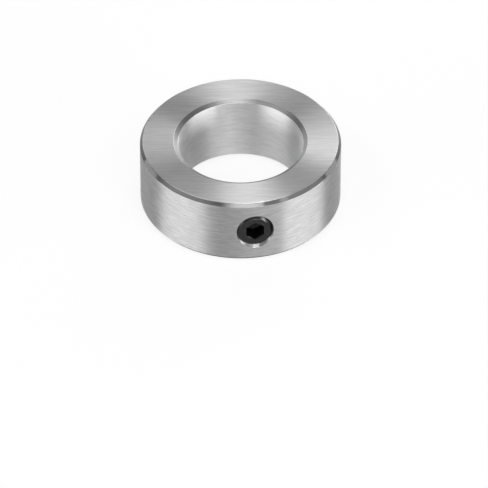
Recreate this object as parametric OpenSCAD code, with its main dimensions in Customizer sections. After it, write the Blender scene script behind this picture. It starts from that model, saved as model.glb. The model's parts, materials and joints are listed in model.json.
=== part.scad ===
// Shaft collar: a turned steel ring, clamped to its shaft by one radial grub screw.
// The ring lies on one face with its bore upright, on +Z, and the origin is the centre of
// that face. The screw lies at mid width and points along +Y, its socket out at the front.

/* [Ring] */
// Bore, the diameter of the shaft that the collar goes on
bore_d = 28; // [16:0.5:36]
// Outside diameter
ring_d = 45; // [42:0.5:80]
// Width along the shaft
ring_w = 16; // [12:0.5:30]
// Chamfer of both rims, measured across the face
rim_chamfer_w = 0.65; // [0.2:0.05:1.5]
// Chamfer of both rims, measured along the wall
rim_chamfer_h = 0.85; // [0.2:0.05:1.5]
// Chamfer of both ends of the bore, measured across the face
bore_chamfer_w = 1; // [0.2:0.05:1.5]
// Chamfer of both ends of the bore, measured along the bore
bore_chamfer_h = 0.6; // [0.2:0.05:1.5]

/* [Thread] */
// Outside diameter of the thread
thread_d = 8; // [6.5:0.25:10]
// Pitch of the thread, which sets how deep it is
thread_pitch = 1.25; // [0.5:0.05:1.5]
// Gap between the screw and its hole, all round
thread_gap = 0.05; // [0.02:0.01:0.1]
// Countersink at the mouth of the hole, measured across the ring's wall
mouth_sink = 0.5; // [0.1:0.05:1]

/* [Grub screw] */
// Length, end face to cup rim
screw_l = 8; // [7:0.5:14]
// How far the cup rim stays back from the bore while the collar is loose
shaft_gap = 0.25; // [0.1:0.05:2]
// Outside diameter of the cup rim
cup_rim_d = 5; // [4:0.1:6]
// Width of the narrow flat left on the cup rim
cup_land = 0.2; // [0.05:0.05:0.5]
// Included angle of the hollow in the cup point
cup_angle = 120; // [90:1:150]

/* [Socket] */
// Width across the flats of the hexagon socket
socket_af = 4; // [2.5:0.5:4.5]
// Depth of the flats
socket_h = 3.5; // [1.5:0.1:3.8]
// Lead-in round the mouth, measured out from the corners of the hexagon
socket_lead = 0.12; // [0.05:0.01:0.15]
// Included angle of the lead-in and of the drill point at the bottom
drill_angle = 120; // [90:1:140]
// Turn of the hexagon about the screw: at 30 two flats stand upright
socket_turn = 30; // [0:1:60]

/* [Hidden] */
$fn = 180;

bore_r = bore_d / 2;
ring_r = ring_d / 2;
thread_r = thread_d / 2;
hole_r = thread_r + thread_gap;
// Depth of a metric screw's thread: 17/24 of the height of a sharp sixty degree thread
thread_h = 17 / 24 * thread_pitch * cos(30);
root_r = thread_r - thread_h;
cup_rim_r = cup_rim_d / 2;
cup_r = cup_rim_r - cup_land;
cup_h = cone_height(cup_r, cup_angle);
// The point tapers at 45 degrees from the outside of the thread to the rim of the cup
point_h = thread_r - cup_rim_r;
drill_r = socket_af / 2;
drill_tip_h = cone_height(drill_r, drill_angle);
corner_r = drill_r / cos(30);
lead_r = corner_r + socket_lead;
lead_h = cone_height(lead_r, drill_angle);
// Overshoot of cutting shapes, so that no two faces coincide
over = 1;

// Height of a cone of base radius r whose sides meet at the given included angle
function cone_height(r, angle) = r / tan(angle / 2);

// Section of the ring on the right of the axis, with both faces chamfered alike
module ring_section() {
    polygon([
        [bore_r + bore_chamfer_w, 0],
        [ring_r - rim_chamfer_w, 0],
        [ring_r, rim_chamfer_h],
        [ring_r, ring_w - rim_chamfer_h],
        [ring_r - rim_chamfer_w, ring_w],
        [bore_r + bore_chamfer_w, ring_w],
        [bore_r, ring_w - bore_chamfer_h],
        [bore_r, bore_chamfer_h],
    ]);
}

// Places what is drawn upwards from z = 0 on the screw's line, with z = 0 at the distance y
// from the bore's axis and +z pointing at the axis
module on_screw_line(y) {
    translate([0, -y, ring_w / 2])
        rotate([-90, 0, 0])
            children();
}

// Hole through one wall, from the bore's axis outwards, countersunk where it leaves the wall
module screw_hole() {
    on_screw_line(ring_r + over)
        cylinder(r = hole_r, h = ring_r + over);
    on_screw_line(ring_r + over)
        cylinder(r1 = hole_r + mouth_sink + over, r2 = hole_r, h = mouth_sink + over);
}

// Section of the screw right of its line: end face with the thread run out to its root,
// body, tapered point and the hollow of the cup
module screw_section() {
    polygon([
        [0, 0],
        [root_r, 0],
        [thread_r, thread_h],
        [thread_r, screw_l - point_h],
        [cup_rim_r, screw_l],
        [cup_r, screw_l],
        [0, screw_l - cup_h],
    ]);
}

// Hexagon socket for the key, with its lead-in and the point left by the drill
module key_socket() {
    translate([0, 0, -over])
        rotate(socket_turn)
            cylinder(r = corner_r, h = socket_h + over, $fn = 6);
    translate([0, 0, socket_h])
        cylinder(r1 = drill_r, r2 = 0, h = drill_tip_h);
    cylinder(r1 = lead_r, r2 = 0, h = lead_h);
}

module collar_ring() {
    color("silver")
        difference() {
            rotate_extrude() ring_section();
            screw_hole();
        }
}

module grub_screw() {
    color("#26272a")
        on_screw_line(bore_r + shaft_gap + screw_l)
            difference() {
                rotate_extrude() screw_section();
                key_socket();
            }
}

collar_ring();
grub_screw();
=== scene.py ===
"""Dresses the shaft collar: fine closed meshes for the ring and the grub screw, with real
threads, turned and brushed steel, black oxide, a pale floor, soft lights and the camera."""
import json
import math

import bmesh
import bpy
from mathutils import Matrix, Vector

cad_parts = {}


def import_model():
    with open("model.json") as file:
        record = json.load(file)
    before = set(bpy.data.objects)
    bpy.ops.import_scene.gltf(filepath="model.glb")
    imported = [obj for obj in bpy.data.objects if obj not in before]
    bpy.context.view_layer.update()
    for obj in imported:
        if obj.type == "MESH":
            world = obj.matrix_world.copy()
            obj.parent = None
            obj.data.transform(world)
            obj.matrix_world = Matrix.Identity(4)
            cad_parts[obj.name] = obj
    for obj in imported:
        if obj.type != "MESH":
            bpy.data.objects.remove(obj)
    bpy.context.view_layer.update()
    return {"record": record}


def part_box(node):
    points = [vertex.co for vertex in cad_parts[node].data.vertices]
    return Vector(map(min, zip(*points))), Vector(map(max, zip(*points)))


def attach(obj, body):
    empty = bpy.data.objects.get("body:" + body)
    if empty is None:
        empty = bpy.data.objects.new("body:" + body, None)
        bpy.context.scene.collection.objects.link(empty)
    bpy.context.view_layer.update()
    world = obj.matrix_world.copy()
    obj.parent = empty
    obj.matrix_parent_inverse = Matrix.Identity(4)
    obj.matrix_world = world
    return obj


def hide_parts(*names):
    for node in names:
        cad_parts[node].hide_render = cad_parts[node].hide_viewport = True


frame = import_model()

# The frame is in metres. Its sizes are read in millimetres, to the hundredth.
MM = 0.001
DECIMALS = 2


def measured(node):
    """Lowest and highest corner of a node of the frame, in millimetres."""
    return [Vector(round(value / MM, DECIMALS) for value in corner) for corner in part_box(node)]


def mount(name):
    """The mount of that name in the frame's record."""
    return next(m for m in frame["record"]["mounts"] if m["name"] == name)


# The ring, in millimetres. A chamfer is given by its reach across the ring and along its axis,
# and EDGE_R rounds the corners of the ring's section.
ring_low, ring_high = measured("collar_ring")
RING_R = ring_high.y
RING_W = ring_high.z - ring_low.z
BORE_R = mount("shaft_bore")["dims"]["r_mm"]
RIM_CHAMFER = Vector((0.65, 0.85))
BORE_CHAMFER = Vector((1.0, 0.6))
EDGE_R = 0.13

# The screw, which lies across the ring at half its width. Places along its line are distances
# from the bore's axis, towards the screw's outer end. The rim of its cup point is CUP_LAND wide.
# Its hexagon socket is SOCKET_AF wide across the flats and has a corner at HEX_CORNER.
screw_low, screw_high = measured("grub_screw")
SCREW_Z = RING_W / 2
SCREW_R = (screw_high.x - screw_low.x) / 2
SCREW_FACE = -screw_low.y
SCREW_POINT = -screw_high.y
CUP_RIM_R = 2.5
CUP_LAND = 0.2
CUP_ANGLE = math.radians(120)
SOCKET_AF = 4.0
SOCKET_H = 3.5
SOCKET_LEAD = 0.12
DRILL_ANGLE = math.radians(120)
HEX_CORNER = math.radians(90)
HEX_SIDE = math.radians(60)
SOCKET_FLOOR = SCREW_FACE - SOCKET_H
SOCKET_LEAD_R = SOCKET_AF / 2 / math.cos(HEX_SIDE / 2) + SOCKET_LEAD
DRILL_SLOPE = 1 / math.tan(DRILL_ANGLE / 2)

# The metric thread, a V that would be SHARP_H high if its crest and root weren't cut flat.
# THREAD_START shifts it along the screw's line, as a share of the pitch. The hole's thread leaves
# THREAD_GAP over the screw's crest and, measured along the line, FLANK_GAP beside its flanks.
PITCH = 1.25
THREAD_ANGLE = math.radians(60)
THREAD_START = 0.47
THREAD_GAP = 0.05
FLANK_GAP = 0.03
FLANK_SLOPE = math.tan(THREAD_ANGLE / 2)
CREST_HALF = PITCH / 16
SHARP_H = PITCH * math.cos(THREAD_ANGLE / 2)
HOLE_R = SCREW_R + THREAD_GAP
HOLE_CREST_R = SCREW_R - 5 / 8 * SHARP_H
SCREW_ROOT_R = SCREW_R - 17 / 24 * SHARP_H

# The countersink of the hole, and the rounded edge of the screw, which starts from its end face
# at SCREW_LIP_R, a little inside the thread's root
MOUTH_SINK = 0.5
LIP_INSET = 0.05
SCREW_LIP_R = SCREW_ROOT_R - LIP_INSET
RUN_OUT_R = 0.9

# How finely the meshes are divided. A window is the part of a wall that is left out round the
# screw's hole, and its edge has as many points as the hole has columns. The hole's first column
# is at the angle HOLE_SEAM, towards the window's lower left corner.
COLUMNS = 360
WALL_ROWS = 36
WALL_WINDOW = 36
HOLE_COLUMNS = 2 * (WALL_WINDOW + WALL_ROWS)
HOLE_SEAM = math.radians(-135)
BORE_WINDOW = 48
BORE_ROWS = HOLE_COLUMNS // 2 - BORE_WINDOW
FACE_ROWS = 10
CHAMFER_ROWS = 4
WINDOW_RINGS = 9
FILLET_STEPS = 3

# How close to an edge a row of points lies, so that what is flat beside the edge shades flat
FLAT_MARGIN = 0.06
LEAD_MARGIN = 0.15
THREAD_EDGE = 0.03

# The shares of the way over a surface at which it has rows
SINK_SHARES = (0.04, 0.3, 0.6, 0.9, 1)
RUN_OUT_SHARES = (0.1, 0.3, 0.5, 0.7, 0.85, 1)
CUP_SHARES = (0, 0.1, 0.5, 0.8)
SOCKET_SHARES = (0, 0.2, 0.6, 0.97, 1)
DRILL_SHARES = (0, 0.2, 0.6, 0.9)

# An edge stays sharp from SHARP_ANGLE on, and points closer than WELD, in metres, become one
SHARP_ANGLE = math.radians(40)
WELD = 1e-7

# How a place along the screw's line is searched: by steps, or by halving a reach round a wall
SEARCH_STEP = 0.005
SEARCH_INSIDE = 2
SEARCH_OUTSIDE = 1
HALVINGS = 40

# The ring's finishes, whose greys also hold painted light and shade, by the numbers that its
# faces carry, and the screw's only one
FACE, RIM, WALL, MOUTH, BORE, THREAD, SINK = range(7)
OXIDE = 0


def add_object(name, data):
    """Adds an object with that mesh, lamp or camera to the scene."""
    added = bpy.data.objects.new(name, data)
    bpy.context.scene.collection.objects.link(added)
    return added


class Shell:
    """Points in millimetres and faces between them, each face with the number of its finish."""

    def __init__(self):
        self.points = []
        self.faces = []
        self.finishes = []

    def loop(self, points):
        """Adds points and returns their numbers."""
        first = len(self.points)
        self.points.extend(points)
        return list(range(first, len(self.points)))

    def face(self, corners, finish):
        """Adds one face between points given by their numbers."""
        self.faces.append(corners)
        self.finishes.append(finish)

    def band(self, one, other, finish):
        """Joins two closed loops of as many points by four-sided faces."""
        for i in range(len(one)):
            after = (i + 1) % len(one)
            self.face((one[i], one[after], other[after], other[i]), finish)

    def grow(self, last, points, finish):
        """Adds a closed loop of points, joins it to the last loop and returns it."""
        loop = self.loop(points)
        self.band(last, loop, finish)
        return loop

    def cap(self, loop, tip, finish):
        """Closes a loop by faces that meet at the point tip."""
        number = self.loop([tip])[0]
        for i in range(len(loop)):
            self.face((loop[i], loop[(i + 1) % len(loop)], number), finish)

    def build(self, name, materials):
        """Makes the object: welded, facing outwards, smooth but for its sharp edges."""
        mesh = bpy.data.meshes.new(name)
        mesh.from_pydata([tuple(c * MM for c in point) for point in self.points], [], self.faces)
        for material in materials:
            mesh.materials.append(material)
        mesh.polygons.foreach_set("material_index", self.finishes)
        work = bmesh.new()
        work.from_mesh(mesh)
        bmesh.ops.remove_doubles(work, verts=work.verts, dist=WELD)
        bmesh.ops.dissolve_degenerate(work, edges=work.edges, dist=WELD)
        bmesh.ops.recalc_face_normals(work, faces=work.faces)
        loose = [point for point in work.verts if not point.link_faces]
        bmesh.ops.delete(work, geom=loose, context="VERTS")
        for face in work.faces:
            face.smooth = True
        for edge in work.edges:
            edge.smooth = edge.calc_face_angle(0) < SHARP_ANGLE
        work.to_mesh(mesh)
        work.free()
        return add_object(name, mesh)


def fillet(before, corner, after, radius, steps):
    """Points of the arc that rounds a corner of an outline."""
    back = (before - corner).normalized()
    on = (after - corner).normalized()
    half = back.angle(on) / 2
    centre = corner + (back + on).normalized() * (radius / math.sin(half))
    start = corner + back * (radius / math.tan(half)) - centre
    turn = math.pi - 2 * half
    if start.x * on.y - start.y * on.x < 0:
        turn = -turn
    return [centre + Matrix.Rotation(turn * i / steps, 2) @ start for i in range(steps + 1)]


def divided(start, end, count):
    """Points between two points, the outermost close to the ends so that a flat shades flat."""
    margin = FLAT_MARGIN / (end - start).length
    shares = [margin + (1 - 2 * margin) * i / (count - 2) for i in range(count - 1)]
    return [start.lerp(end, share) for share in shares]


def on_wall(angle, r, z):
    """Point at the angle round the bore's axis, counted from the screw's side."""
    return (r * math.sin(angle), -r * math.cos(angle), z)


def on_hole(theta, r, t):
    """Point at the angle theta round the screw's line, seen from the front."""
    return (r * math.cos(theta), -t, SCREW_Z + r * math.sin(theta))


def hole_angles():
    """The angles theta of the hole's columns."""
    return [HOLE_SEAM + 2 * math.pi * i / HOLE_COLUMNS for i in range(HOLE_COLUMNS)]


def ridge_distance(theta, t):
    """Distance along the screw's line from the middle of the nearest turn of its thread."""
    phase = (t / PITCH - theta / (2 * math.pi) + THREAD_START) % 1
    return abs(phase - 0.5) * PITCH


def screw_thread_r(theta, t):
    """Radius of the screw's thread, whose ridge is narrower than the hole's groove."""
    fall = (ridge_distance(theta, t) - CREST_HALF + FLANK_GAP) / FLANK_SLOPE
    return min(max(SCREW_R - fall, SCREW_ROOT_R), SCREW_R)


def hole_thread_r(theta, t):
    """Radius of the thread cut in the ring, which the screw's thread runs in."""
    fall = (ridge_distance(theta, t) - CREST_HALF) / FLANK_SLOPE
    return min(max(SCREW_R - fall, HOLE_CREST_R), HOLE_R)


def sink_r(t):
    """Radius of the countersink's cone."""
    return HOLE_R + MOUTH_SINK - (RING_R - t)


def sink_start(theta):
    """Place t from which on the countersink has cut all of the thread away."""
    t = RING_R - MOUTH_SINK
    while sink_r(t) > hole_thread_r(theta, t):
        t -= SEARCH_STEP
    return t


def hole_r(theta, t):
    """Radius of the tapped hole with its countersink."""
    return max(hole_thread_r(theta, t), sink_r(t))


def run_out_r(t):
    """Radius of the rounded edge that leads from the screw's end face to its thread."""
    depth = min(SCREW_FACE - t, RUN_OUT_R)
    return SCREW_LIP_R + math.sqrt(depth * (2 * RUN_OUT_R - depth))


def run_out_start(theta):
    """Place t from which on the rounded edge has cut the thread away."""
    t = SCREW_FACE
    while run_out_r(t) < screw_thread_r(theta, t):
        t -= SEARCH_STEP
    return t


def screw_r(theta, t):
    """Radius of the screw between its two ends, where its thread is cut down."""
    point = CUP_RIM_R + t - SCREW_POINT
    return min(screw_thread_r(theta, t), point, run_out_r(t))


def hexagon_r(theta):
    """Radius of the socket's hexagon."""
    off = (theta - HEX_CORNER) % HEX_SIDE - HEX_SIDE / 2
    return SOCKET_AF / 2 / math.cos(off)


def lead_in_t(theta):
    """Place t at which the round lead-in meets the socket's hexagon."""
    return SCREW_FACE - (SOCKET_LEAD_R - hexagon_r(theta)) * DRILL_SLOPE


def where_it_meets(theta, wall_r):
    """Place t at which the side of the hole meets a round wall."""
    low, high = wall_r - SEARCH_INSIDE, wall_r + SEARCH_OUTSIDE
    for _ in range(HALVINGS):
        t = (low + high) / 2
        if t * t + (hole_r(theta, t) * math.cos(theta)) ** 2 < wall_r * wall_r:
            low = t
        else:
            high = t
    return low


def thread_steps(crest, depth):
    """Shares of one pitch at which a thread is cut into rows, two at each edge of its profile."""
    foot = crest + depth * FLANK_SLOPE
    reaches = [
        crest - THREAD_EDGE, crest + THREAD_EDGE, (crest + foot) / 2,
        foot - THREAD_EDGE, foot + THREAD_EDGE,
    ]
    half = [reach / PITCH for reach in reaches]
    return [0] + sorted([0.5 - h for h in half] + [0.5] + [0.5 + h for h in half])


def thread_rows(thetas, steps, radius, low, high):
    """Rows of points that follow the thread from low(theta) to high(theta)."""
    first = math.floor(min(map(low, thetas)) / PITCH - max(thetas) / (2 * math.pi)) - 1
    last = math.ceil(max(map(high, thetas)) / PITCH - min(thetas) / (2 * math.pi)) + 1
    ends = [(low(theta), high(theta)) for theta in thetas]
    rows = []
    for turn in range(first, last):
        for step in steps:
            row = []
            for theta, (start, end) in zip(thetas, ends):
                t = PITCH * (theta / (2 * math.pi) + turn + step - THREAD_START)
                t = min(max(t, start), end)
                row.append(on_hole(theta, radius(theta, t), t))
            rows.append(row)
    return rows


def add_thread(shell, rows, per_turn, finish):
    """Joins rows that follow a helix: past its last column a row goes on one turn higher."""
    loops = [shell.loop(row) for row in rows]
    for low, high in zip(loops, loops[1:]):
        for i in range(HOLE_COLUMNS - 1):
            shell.face((low[i], low[i + 1], high[i + 1], high[i]), finish)
    top = len(loops) - 1
    for j in range(top):
        after = loops[min(j + per_turn, top)]
        above = loops[min(j + 1 + per_turn, top)]
        shell.face((loops[j][-1], after[0], above[0], loops[j + 1][-1]), finish)
    for j in range(per_turn):
        shell.face((loops[0][-1], loops[j][0], loops[j + 1][0]), finish)
    return loops


def ring_rows():
    """Points of the ring's section, the finish after each, and the spans of its two walls."""
    inner, outer = BORE_R, RING_R
    # A side has its first corner, its number of rows, its finish and that of its corner's edge.
    sides = [
        ((inner + BORE_CHAMFER.x, 0), FACE_ROWS, FACE, FACE),
        ((outer - RIM_CHAMFER.x, 0), CHAMFER_ROWS, RIM, FACE),
        ((outer, RIM_CHAMFER.y), WALL_ROWS, WALL, WALL),
        ((outer, RING_W - RIM_CHAMFER.y), CHAMFER_ROWS, RIM, WALL),
        ((outer - RIM_CHAMFER.x, RING_W), FACE_ROWS, FACE, FACE),
        ((inner + BORE_CHAMFER.x, RING_W), CHAMFER_ROWS, MOUTH, FACE),
        ((inner, RING_W - BORE_CHAMFER.y), BORE_ROWS, BORE, BORE),
        ((inner, BORE_CHAMFER.y), CHAMFER_ROWS, MOUTH, BORE),
    ]
    corners = [Vector(corner) for corner, count, finish, edge_finish in sides]
    total = len(corners)
    arcs = []
    for i, corner in enumerate(corners):
        after = corners[(i + 1) % total]
        arcs.append(fillet(corners[i - 1], corner, after, EDGE_R, FILLET_STEPS))
    rows, finishes, spans = [], [], {}
    for i, (corner, count, finish, edge_finish) in enumerate(sides):
        rows += arcs[i]
        finishes += [edge_finish] * FILLET_STEPS
        start = len(rows) - 1
        spans[finish] = (start, start + count)
        rows += divided(arcs[i][-1], arcs[(i + 1) % total][0], count)
        finishes += [finish] * count
    return rows, finishes, spans[WALL], spans[BORE]


def window_columns(window):
    """First and last column of a window, which has the screw's line at its middle."""
    left = (WALL_WINDOW - window) // 2
    return left, left + window


def turn_section(shell, rows, finishes, windows):
    """Turns the section round the bore's axis, but for its windows, and returns its loops."""
    turn = 2 * math.pi / COLUMNS
    angles = [turn * (i - WALL_WINDOW / 2) for i in range(COLUMNS)]
    loops = [shell.loop([on_wall(angle, row.x, row.y) for angle in angles]) for row in rows]
    cuts = []
    for (first, last), window in windows:
        cuts.append((range(first, last), {c % COLUMNS for c in range(*window_columns(window))}))
    for i, finish in enumerate(finishes):
        low, high = loops[i], loops[(i + 1) % len(rows)]
        for c in range(COLUMNS):
            if any(i in cut_rows and c in cut_columns for cut_rows, cut_columns in cuts):
                continue
            d = (c + 1) % COLUMNS
            shell.face((low[c], low[d], high[d], high[c]), finish)
    return loops


def window_edge(rows, loops, span, window):
    """Point numbers round a window in a wall: from its lower left corner, seen from the front."""
    left, right = window_columns(window)
    up = list(range(span[0], span[1] + 1))
    if rows[up[0]].y > rows[up[-1]].y:
        up.reverse()

    def at(row, column):
        return loops[row][column % COLUMNS]

    edge = [at(up[0], column) for column in range(left, right)]
    edge += [at(row, right) for row in up[:-1]]
    edge += [at(up[-1], column) for column in range(right, left, -1)]
    edge += [at(row, left) for row in up[:0:-1]]
    return edge


def fill_window(shell, edge, rim, radius, finish):
    """Fills the wall between the edge of a window and the rim of the hole, ring by ring."""
    def flat(number):
        x, y, z = shell.points[number]
        return Vector((math.atan2(x, -y), z))

    outer = [flat(number) for number in edge]
    inner = [flat(number) for number in rim]
    last = edge
    for ring in range(1, WINDOW_RINGS):
        share = ring / WINDOW_RINGS
        places = [a.lerp(b, share) for a, b in zip(outer, inner)]
        last = shell.grow(last, [on_wall(place.x, radius, place.y) for place in places], finish)
    shell.band(last, rim, finish)


def tapped_hole(shell):
    """Adds the hole's thread and countersink; returns its rims on the bore and on the wall."""
    thetas = hole_angles()
    bore_t = {theta: where_it_meets(theta, BORE_R) for theta in thetas}
    wall_t = {theta: where_it_meets(theta, RING_R) for theta in thetas}
    sink_t = {theta: sink_start(theta) for theta in thetas}
    steps = thread_steps(CREST_HALF - THREAD_GAP * FLANK_SLOPE, HOLE_R - HOLE_CREST_R)
    rows = thread_rows(thetas, steps, hole_r, bore_t.get, sink_t.get)
    loops = add_thread(shell, rows, len(steps), THREAD)
    last = loops[-1]
    for share in SINK_SHARES:
        places = [(theta, sink_t[theta] * (1 - share) + wall_t[theta] * share) for theta in thetas]
        last = shell.grow(last, [on_hole(theta, sink_r(t), t) for theta, t in places], SINK)
    return loops[0], last


def collar_ring(materials):
    """The ring, turned in one piece, with its tapped and countersunk hole."""
    shell = Shell()
    rows, finishes, wall_span, bore_span = ring_rows()
    windows = [(wall_span, WALL_WINDOW), (bore_span, BORE_WINDOW)]
    loops = turn_section(shell, rows, finishes, windows)
    bore_rim, wall_rim = tapped_hole(shell)
    wall_edge = window_edge(rows, loops, wall_span, WALL_WINDOW)
    fill_window(shell, wall_edge, wall_rim, RING_R, WALL)
    # The bore's window is the wider one, so its lower left corner lies some columns back.
    shift = window_columns(BORE_WINDOW)[0]
    bore_edge = window_edge(rows, loops, bore_span, BORE_WINDOW)
    fill_window(shell, bore_edge, bore_rim[shift:] + bore_rim[:shift], BORE_R, BORE)
    return shell.build("turned_ring", materials)


def circle(r, t):
    """Points of a circle round the screw's line."""
    return [on_hole(theta, r, t) for theta in hole_angles()]


def add_cup(shell, last):
    """Closes the screw's inner end by its cup point."""
    cup_r = CUP_RIM_R - CUP_LAND
    cup_h = cup_r / math.tan(CUP_ANGLE / 2)
    for share in CUP_SHARES:
        last = shell.grow(last, circle(cup_r * (1 - share), SCREW_POINT + cup_h * share), OXIDE)
    shell.cap(last, on_hole(0, 0, SCREW_POINT + cup_h), OXIDE)


def add_run_out(shell, last):
    """Adds the rounded edge between the thread and the end face, with rows closer at the face."""
    thetas = hole_angles()
    depths = [SCREW_FACE - run_out_start(theta) for theta in thetas]
    for share in RUN_OUT_SHARES:
        places = [SCREW_FACE - depth * (1 - share) ** 2 for depth in depths]
        points = [on_hole(theta, run_out_r(t), t) for theta, t in zip(thetas, places)]
        last = shell.grow(last, points, OXIDE)
    return last


def add_socket(shell, last):
    """Adds the screw's end face and closes it by the socket with its lead-in and drill point."""
    for r in (SCREW_LIP_R - FLAT_MARGIN, SOCKET_LEAD_R + LEAD_MARGIN, SOCKET_LEAD_R):
        last = shell.grow(last, circle(r, SCREW_FACE), OXIDE)
    for share in SOCKET_SHARES:
        points = []
        for theta in hole_angles():
            t = lead_in_t(theta) * (1 - share) + SOCKET_FLOOR * share
            points.append(on_hole(theta, hexagon_r(theta), t))
        last = shell.grow(last, points, OXIDE)
    drill_h = SOCKET_AF / 2 * DRILL_SLOPE
    for share in DRILL_SHARES:
        drilled = circle(SOCKET_AF / 2 * (1 - share), SOCKET_FLOOR - drill_h * share)
        last = shell.grow(last, drilled, OXIDE)
    shell.cap(last, on_hole(0, 0, SOCKET_FLOOR - drill_h), OXIDE)


def grub_screw(materials):
    """The headless screw, from its cup point to its socket."""
    shell = Shell()
    steps = thread_steps(CREST_HALF - FLANK_GAP, SCREW_R - SCREW_ROOT_R)
    rows = thread_rows(hole_angles(), steps, screw_r, lambda theta: SCREW_POINT, run_out_start)
    loops = add_thread(shell, rows, len(steps), OXIDE)
    add_cup(shell, loops[0])
    add_socket(shell, add_run_out(shell, loops[-1]))
    return shell.build("black_grub_screw", materials)


class Nodes:
    """A material's node tree, with short calls to add and join nodes."""

    def __init__(self, name):
        self.material = bpy.data.materials.new(name)
        self.material.use_nodes = True
        self.tree = self.material.node_tree
        self.tree.nodes.clear()

    def put(self, socket, value):
        """Gives an input its value: a number, a colour or another node's output."""
        if isinstance(value, bpy.types.NodeSocket):
            self.tree.links.new(value, socket)
        else:
            socket.default_value = value

    def add(self, kind, settings=None, **inputs):
        """Adds a node and gives its inputs their values."""
        node = self.tree.nodes.new(kind)
        for key, value in (settings or {}).items():
            setattr(node, key, value)
        for key, value in inputs.items():
            self.put(node.inputs[key.replace("_", " ")], value)
        return node

    def noise(self, place, scale, detail, roughness):
        """A noise between 0 and 1."""
        inputs = {"Vector": place, "Scale": scale, "Detail": detail, "Roughness": roughness}
        return self.add("ShaderNodeTexNoise", **inputs).outputs["Fac"]

    def ranged(self, value, low, high, value_low=0.0, value_high=1.0):
        """Maps a value from between value_low and value_high to between low and high."""
        given = {"Value": value, "From_Min": value_low, "From_Max": value_high}
        return self.add("ShaderNodeMapRange", To_Min=low, To_Max=high, **given).outputs[0]

    def grey(self, value):
        """A colour whose three channels all have the value."""
        return self.add("ShaderNodeCombineColor", Red=value, Green=value, Blue=value).outputs[0]

    def math(self, operation, *values):
        """A sum, product or the like of values."""
        node = self.add("ShaderNodeMath", {"operation": operation})
        for socket, value in zip(node.inputs, values):
            self.put(socket, value)
        return node.outputs[0]

    def output(self, surface):
        """Ends the tree by its surface, and returns the material."""
        self.add("ShaderNodeOutputMaterial", Surface=surface.outputs[0])
        return self.material


# The lines in the steel: the span of the noise that they are made of, how strongly it shows as
# relief, and how deep that relief is, in metres
LINE_NOISE = (0.3, 0.7)
LINE_STRENGTH = 0.15
LINE_DEPTH = 0.00002

# The share of a turn that draws a highlight out along the ring's axis on a wall, and away from
# the axis on a face
SPREAD_TURN = 0.25

# The sharp reflection that may lie over the soft one
GLOSS_ROUGHNESS = 0.07
GLOSS_IOR = 2.2


def steel(name, line_scale, grey, roughness, turn=0.0, gloss=0.0, spread=0.9, contrast=0.12):
    """Bright steel with fine lines. line_scale gives, for each axis, how fast the lines change
    per metre, turn how far the lines' axes are turned about Z, gloss how much of a sharp
    reflection lies over the soft one, spread how far a highlight is drawn out, and contrast how
    much lighter and darker than the grey the lines get."""
    made = Nodes(name)
    place = made.add("ShaderNodeTexCoord").outputs["Object"]
    turned = made.add("ShaderNodeMapping", Vector=place, Rotation=(0, 0, turn)).outputs[0]
    drawn = made.add("ShaderNodeMapping", Vector=turned, Scale=line_scale).outputs[0]
    lines = made.noise(drawn, scale=1.0, detail=4.0, roughness=0.7)
    shade = made.ranged(lines, grey * (1 - contrast), grey * (1 + contrast), *LINE_NOISE)
    bump = made.add("ShaderNodeBump", Height=lines, Strength=LINE_STRENGTH, Distance=LINE_DEPTH)
    tangent = made.add("ShaderNodeTangent", {"direction_type": "RADIAL", "axis": "Z"})
    surface = made.add(
        "ShaderNodeBsdfPrincipled", Base_Color=made.grey(shade), Metallic=1.0,
        Roughness=roughness, Anisotropic=spread, Anisotropic_Rotation=SPREAD_TURN,
        Coat_Weight=gloss, Coat_Roughness=GLOSS_ROUGHNESS, Coat_IOR=GLOSS_IOR,
        Normal=bump.outputs[0], Tangent=tangent.outputs[0])
    return made.output(surface)


# The oxide: its grey and how far that is mottled, the range of its roughness, its grain, whose
# depth is in metres, and the film of oil on it
OXIDE_GREY = 0.06
OXIDE_MOTTLE = 0.4
OXIDE_ROUGHNESS = (0.26, 0.44)
GRAIN_STRENGTH = 0.25
GRAIN_DEPTH = 0.00001
OIL_WEIGHT = 0.8
OIL_ROUGHNESS = 0.12


def black_oxide(name):
    """Blackened steel: a mottled, slightly grainy black under a thin film of oil."""
    made = Nodes(name)
    place = made.add("ShaderNodeTexCoord").outputs["Object"]
    mottle = made.noise(place, scale=900.0, detail=3.0, roughness=0.6)
    grain = made.noise(place, scale=6000.0, detail=2.0, roughness=0.5)
    shade = made.ranged(mottle, OXIDE_GREY * (1 - OXIDE_MOTTLE), OXIDE_GREY * (1 + OXIDE_MOTTLE))
    wear = made.ranged(grain, *OXIDE_ROUGHNESS)
    bump = made.add("ShaderNodeBump", Height=grain, Strength=GRAIN_STRENGTH, Distance=GRAIN_DEPTH)
    surface = made.add(
        "ShaderNodeBsdfPrincipled", Base_Color=made.grey(shade), Metallic=1.0, Roughness=wear,
        Coat_Weight=OIL_WEIGHT, Coat_Roughness=OIL_ROUGHNESS, Normal=bump.outputs[0])
    return made.output(surface)


# The camera. In the photograph's pixels, FRAME_PX is its width and height, COLLAR_PX the place
# where the collar's middle lands, and FOCAL_PX the focal length. The distance is in metres.
FRAME_PX = 488
COLLAR_PX = (240.54, 167.96)
FOCAL_PX = 5408.4
SENSOR_MM = 36
CAMERA_DISTANCE = 1.2133
CAMERA_PITCH = math.radians(40.44)
CAMERA_AZIMUTH = math.radians(-8.5)


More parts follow.
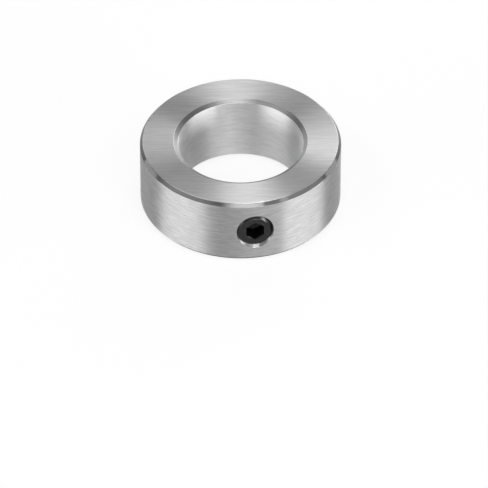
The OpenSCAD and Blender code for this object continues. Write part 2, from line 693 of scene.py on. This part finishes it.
def camera():
    """Looks down at the collar, from the left of the screw's line."""
    data = bpy.data.cameras.new("camera")
    data.sensor_width = SENSOR_MM
    data.lens = FOCAL_PX / FRAME_PX * SENSOR_MM
    eye = add_object("camera", data)
    about = Matrix.Rotation(CAMERA_AZIMUTH, 3, "Z")
    turn = about @ Matrix.Rotation(math.pi / 2 - CAMERA_PITCH, 3, "X")
    across = (COLLAR_PX[0] - FRAME_PX / 2) / FOCAL_PX
    down = (COLLAR_PX[1] - FRAME_PX / 2) / FOCAL_PX
    ray = turn @ Vector((across, -down, -1)).normalized()
    middle = Vector((0, 0, RING_W / 2 * MM))
    eye.matrix_world = Matrix.Translation(middle - ray * CAMERA_DISTANCE) @ turn.to_4x4()
    bpy.context.scene.camera = eye


# The share of the floor that shines by itself, and how brightly: to the camera, and to the
# metal that mirrors it. The floor's reach from the collar's axis is in metres.
SEEN_SHARE = 0.8
SEEN_SHINE = 1.05
MIRRORED_SHARE = 0.92
MIRRORED_SHINE = 0.35
FLOOR_GREY = 0.8
FLOOR_REACH = 2.0


def floor():
    """A wide pale floor that keeps the collar's shadow."""
    made = Nodes("pale_floor")
    pale = made.add("ShaderNodeBsdfDiffuse", Color=(FLOOR_GREY, FLOOR_GREY, FLOOR_GREY, 1))
    path = made.add("ShaderNodeLightPath").outputs
    shine = made.ranged(path["Is Glossy Ray"], SEEN_SHINE, MIRRORED_SHINE)
    white = made.add("ShaderNodeEmission", Color=(1, 1, 1, 1), Strength=shine)
    seen = made.math("MULTIPLY", path["Is Camera Ray"], SEEN_SHARE)
    share = made.math("MULTIPLY_ADD", path["Is Glossy Ray"], MIRRORED_SHARE, seen)
    mix = made.add("ShaderNodeMixShader")
    for socket, value in zip(mix.inputs, (share, pale.outputs[0], white.outputs[0])):
        made.put(socket, value)
    mesh = bpy.data.meshes.new("floor")
    r = FLOOR_REACH
    mesh.from_pydata([(-r, -r, 0), (r, -r, 0), (r, r, 0), (-r, r, 0)], [], [(0, 1, 2, 3)])
    mesh.materials.append(made.output(mix))
    ground = add_object("floor", mesh)


def softbox(name, azimuth, elevation, width, height, strength, distance=1.0):
    """An area light that faces the collar. Its azimuth is counted in degrees from the camera's,
    to the right, and its elevation from the floor. Its sizes and distance are metres, and its
    strength is how bright it looks, whatever its size."""
    data = bpy.data.lights.new(name, "AREA")
    data.shape = "RECTANGLE"
    data.size = width
    data.size_y = height
    data.energy = strength * width * height * math.pi
    box = add_object(name, data)
    a = math.radians(azimuth) + CAMERA_AZIMUTH
    e = math.radians(elevation)
    away = Vector((math.sin(a) * math.cos(e), -math.cos(a) * math.cos(e), math.sin(e)))
    box.location = away * distance
    box.rotation_mode = "QUATERNION"
    box.rotation_quaternion = away.to_track_quat("Z", "Y")


def world(strength):
    """An even, weak light from all round."""
    studio = bpy.data.worlds.new("studio")
    bpy.context.scene.world = studio
    studio.use_nodes = True
    tree = studio.node_tree
    tree.nodes.clear()
    back = tree.nodes.new("ShaderNodeBackground")
    back.inputs["Strength"].default_value = strength
    out = tree.nodes.new("ShaderNodeOutputWorld")
    tree.links.new(back.outputs[0], out.inputs["Surface"])


bpy.context.scene.view_settings.view_transform = "Standard"
camera()
floor()
world(strength=0.12)

# Lamps behind the collar, each with its azimuth, elevation, width, height and strength
softbox("behind", 180, 33, 0.18, 0.16, 1.3)
softbox("behind_high", 178, 60, 0.19, 0.26, 3.0)
softbox("right_back_high", 161, 41, 0.16, 0.18, 3.7)
softbox("right_back", 155, 18, 0.40, 0.40, 1.9)
softbox("left_back", -146, 32, 0.24, 0.36, 2.1)
softbox("near_right", 150, 26, 0.12, 0.16, 1.0, distance=0.25)

# Lamps in front of it
softbox("above_front", 14, 78, 0.45, 0.20, 7.5)
softbox("front", 3, 34, 0.70, 0.05, 3.6)
softbox("front_high", 14, 48, 0.50, 0.03, 14.0)

# Lamps at its sides
softbox("left_low", -63, 9, 1.00, 0.26, 4.9)
softbox("left_high", -66, 50, 0.90, 0.42, 2.2)
softbox("right_low", 69.5, 9, 0.87, 0.26, 6.4)
softbox("right_edge", 48, 20, 0.14, 0.60, 1.0)
softbox("right_top", 43, 52, 0.56, 0.48, 2.2)

# Low lamps behind its sides
softbox("left_rear", -108, 8, 0.44, 0.20, 1.1)
softbox("left_back_low", -152, 8, 0.36, 0.16, 3.0)
softbox("right_rear", 112, 8, 0.42, 0.20, 1.2)

# How fast the steel's lines change per metre along X, Y and Z. Those of the ring's faces run
# across the picture, those of its walls and chamfers round it, and those of its hole round the
# screw's line.
FACE_LINES = (120, 1900, 120)
WALL_LINES = (320, 320, 2400)
THREAD_LINES = (900, 2500, 900)

# Besides the real finish, these greys paint light and shade. Painted shade makes the rim chamfer,
# the bore's chamfer, the thread and the countersink darker than the faces and the wall. Painted
# light makes the bore lighter.
ring_finishes_with_painted_shading = {
    FACE: steel("brushed_face", FACE_LINES, grey=0.72, roughness=0.28, turn=-CAMERA_AZIMUTH),
    RIM: steel("turned_rim_chamfer", WALL_LINES, grey=0.20, roughness=0.50, gloss=1.0),
    WALL: steel("turned_wall", WALL_LINES, grey=0.74, roughness=0.50, spread=0.95, contrast=0.17),
    MOUTH: steel("turned_bore_chamfer", WALL_LINES, grey=0.32, roughness=0.39, spread=0.5),
    BORE: steel("turned_bore", WALL_LINES, grey=0.97, roughness=0.50, spread=0.95),
    THREAD: steel("cut_thread", THREAD_LINES, grey=0.45, roughness=0.35, spread=0.0),
    SINK: steel("cut_countersink", THREAD_LINES, grey=0.24, roughness=0.42, gloss=0.2, spread=0.0),
}
ring = collar_ring([ring_finishes_with_painted_shading[finish] for finish in sorted(ring_finishes_with_painted_shading)])
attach(ring, "collar")
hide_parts("collar_ring")

screw = grub_screw([black_oxide("black_oxide")])
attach(screw, "screw")
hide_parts("grub_screw")
